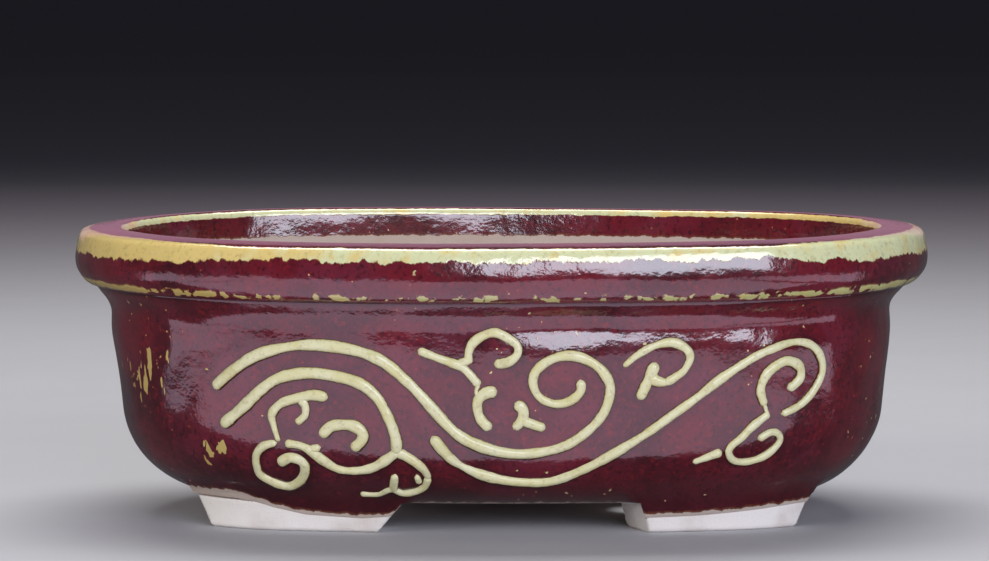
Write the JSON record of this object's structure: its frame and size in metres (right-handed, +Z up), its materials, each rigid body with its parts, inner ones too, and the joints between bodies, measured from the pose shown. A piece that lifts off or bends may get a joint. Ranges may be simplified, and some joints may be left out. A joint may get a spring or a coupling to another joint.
{
  "type": "bonsai pot",
  "caption": "Oval footed stoneware planter with a thick lip band, raised trailed scroll lines on the long sides and drain holes in the floor.",
  "frame": {"origin": "on the surface that the feet stand on, under the middle of the pot", "axes": "+X along the length, +Z up through the opening, -Y out of the decorated front"},
  "size_m": [0.24, 0.16, 0.081],
  "materials": {
    "red_glaze": "gloss",
    "cream_slip": "gloss",
    "bare_stoneware": "matte"
  },
  "bodies": {
    "root": {"floor_slab": "bare_stoneware", "wall": "red_glaze", "lip_band": "red_glaze", "foot_front_left": "bare_stoneware", "foot_front_right": "bare_stoneware", "foot_back_left": "bare_stoneware", "foot_back_right": "bare_stoneware", "wave_upper": "cream_slip", "wave_lower": "cream_slip", "arch_line": "cream_slip", "arch_tendril": "cream_slip", "arch_leaf": "cream_slip", "snail_curl": "cream_slip", "inner_curl": "cream_slip", "root_squiggle": "cream_slip", "centre_tendril": "cream_slip", "centre_curl_high": "cream_slip", "centre_curl_low": "cream_slip", "centre_hook": "cream_slip", "leaf_curl": "cream_slip", "leaf_vein": "cream_slip", "right_curl_high": "cream_slip", "right_curl_low": "cream_slip", "right_dash": "cream_slip"}
  },
  "joints": []
}
